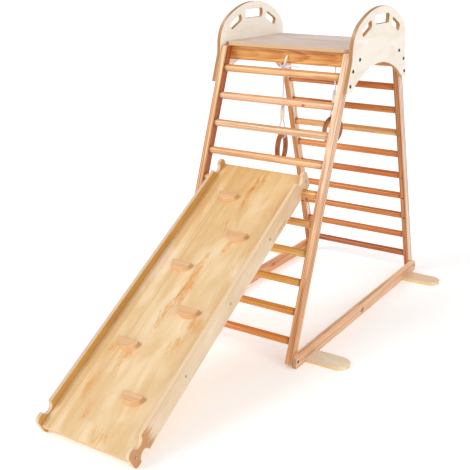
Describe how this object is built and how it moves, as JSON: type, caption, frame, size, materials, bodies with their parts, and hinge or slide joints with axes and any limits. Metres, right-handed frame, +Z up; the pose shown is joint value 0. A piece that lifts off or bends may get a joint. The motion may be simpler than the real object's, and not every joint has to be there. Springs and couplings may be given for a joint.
{
  "type": "toddler slide",
  "caption": "Indoor climbing tower with two leaning ladders, a platform between arched grip panels, a hook-on slide board with climbing stones, and hanging gym rings.",
  "frame": {"origin": "on the floor, under the middle of the whole object's box", "axes": "+X along the rungs, towards the right side seen from the slide; +Y away from the slide's foot, towards the rear ladder; +Z up"},
  "size_m": [0.984, 2.2896, 1.386],
  "materials": {
    "pine": "clear oiled pine",
    "panel_plywood": "pale clear-coated plywood",
    "platform_plywood": "clear-coated plywood",
    "foot_plywood": "clear-coated plywood",
    "slide_plywood": "clear-coated pine plywood",
    "stone_wood": "sanded beech",
    "ring_wood": "varnished bent wood",
    "rope": "braided cord",
    "adjuster_wood": "matt",
    "dark_bolts": "black zinc",
    "dark_screws": "phosphated",
    "zinc_screws": "zinc plated"
  },
  "bodies": {
    "tower": {"left_front_post": "pine", "right_front_post": "pine", "left_rear_post": "pine", "right_rear_post": "pine", "front_rung_1": "pine", "front_rung_2": "pine", "front_rung_3": "pine", "front_rung_4": "pine", "front_rung_5": "pine", "front_rung_6": "pine", "front_rung_7": "pine", "front_rung_8": "pine", "front_rung_9": "pine", "front_rung_10": "pine", "rear_rung_1": "pine", "rear_rung_2": "pine", "rear_rung_3": "pine", "rear_rung_4": "pine", "rear_rung_5": "pine", "rear_rung_6": "pine", "rear_rung_7": "pine", "rear_rung_8": "pine", "rear_rung_9": "pine", "rear_rung_10": "pine", "platform_board": "platform_plywood", "front_apron": "pine", "rear_apron": "pine", "left_side_panel": "panel_plywood", "right_side_panel": "panel_plywood", "left_base_rail": "pine", "right_base_rail": "pine", "left_front_foot": "foot_plywood", "right_front_foot": "foot_plywood", "left_rear_foot": "foot_plywood", "right_rear_foot": "foot_plywood", "front_hanger_loop": "rope", "rear_hanger_loop": "rope", "panel_bolts": "dark_bolts", "base_rail_bolts": "dark_bolts", "rung_screws": "dark_screws", "frame_screws": "zinc_screws"},
    "slide": {"slide_board": "slide_plywood", "left_slide_rail": "slide_plywood", "right_slide_rail": "slide_plywood", "climbing_stone_1": "stone_wood", "climbing_stone_2": "stone_wood", "climbing_stone_3": "stone_wood", "climbing_stone_4": "stone_wood", "climbing_stone_5": "stone_wood", "climbing_stone_6": "stone_wood", "slide_screws": "zinc_screws"},
    "front_hanger": {"front_hanger_knot": "rope"},
    "front_swing": {"front_rope": "rope", "front_rope_adjuster": "adjuster_wood"},
    "front_ring": {"front_ring": "ring_wood"},
    "rear_hanger": {"rear_hanger_knot": "rope"},
    "rear_swing": {"rear_rope": "rope", "rear_rope_adjuster": "adjuster_wood"},
    "rear_ring": {"rear_ring": "ring_wood"}
  },
  "joints": [
    {"name": "slide_pivot", "type": "hinge", "parent": "tower", "child": "slide", "pos_m": [0, 0.01901, 0.66542], "axis": [-1, 0, 0], "range_deg": [0, 75]},
    {"name": "front_rope_swing_fore_aft", "type": "hinge", "parent": "tower", "child": "front_hanger", "pos_m": [-0.011, 0.21897, 1.134], "axis": [1, 0, 0], "range_deg": [-8, 8]},
    {"name": "front_rope_swing_sideways", "type": "hinge", "parent": "front_hanger", "child": "front_swing", "pos_m": [-0.011, 0.21897, 1.134], "axis": [0, 1, 0], "range_deg": [-30, 30]},
    {"name": "front_ring_tilt", "type": "hinge", "parent": "front_swing", "child": "front_ring", "pos_m": [-0.011, 0.21897, 0.849], "axis": [-0.1908, 0.9816, 0], "range_deg": [-20, 20]},
    {"name": "rear_rope_swing_fore_aft", "type": "hinge", "parent": "tower", "child": "rear_hanger", "pos_m": [0.005, 0.69897, 1.134], "axis": [1, 0, 0], "range_deg": [-8, 8]},
    {"name": "rear_rope_swing_sideways", "type": "hinge", "parent": "rear_hanger", "child": "rear_swing", "pos_m": [0.005, 0.69897, 1.134], "axis": [0, 1, 0], "range_deg": [-30, 30]},
    {"name": "rear_ring_tilt", "type": "hinge", "parent": "rear_swing", "child": "rear_ring", "pos_m": [0.005, 0.69897, 0.849], "axis": [0.2588, 0.9659, 0], "range_deg": [-20, 20]}
  ]
}
